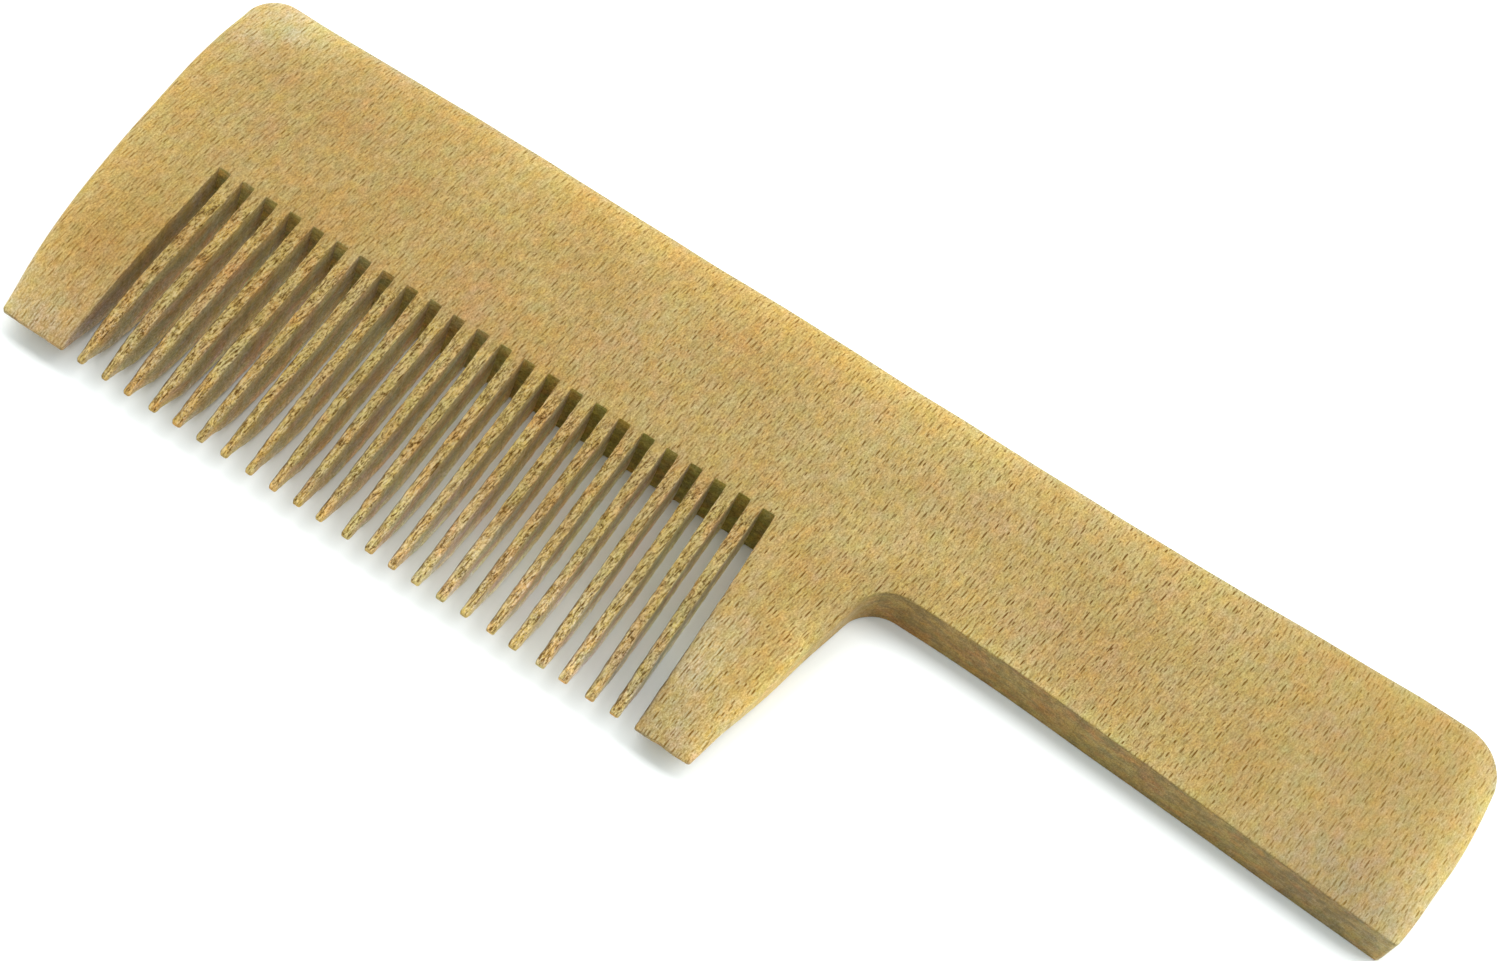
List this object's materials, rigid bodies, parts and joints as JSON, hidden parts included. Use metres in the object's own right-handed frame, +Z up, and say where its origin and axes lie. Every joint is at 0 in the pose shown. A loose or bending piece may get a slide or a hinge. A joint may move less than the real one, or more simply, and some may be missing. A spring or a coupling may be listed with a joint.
{
  "type": "wooden hair comb",
  "caption": "One-piece flat wooden hair comb with saw-cut tapering teeth between two broad guard teeth, and a straight flat handle in line with its back.",
  "frame": {"origin": "under the middle of the comb's box, on the back face it lies on", "axes": "+X along the comb toward the handle end, +Y across it from the teeth to the spine, +Z up out of the face that shows"},
  "size_m": [0.191, 0.061, 0.0075],
  "materials": {
    "beech": "plain sanded, unvarnished"
  },
  "bodies": {
    "root": {"comb": "beech"}
  },
  "joints": []
}
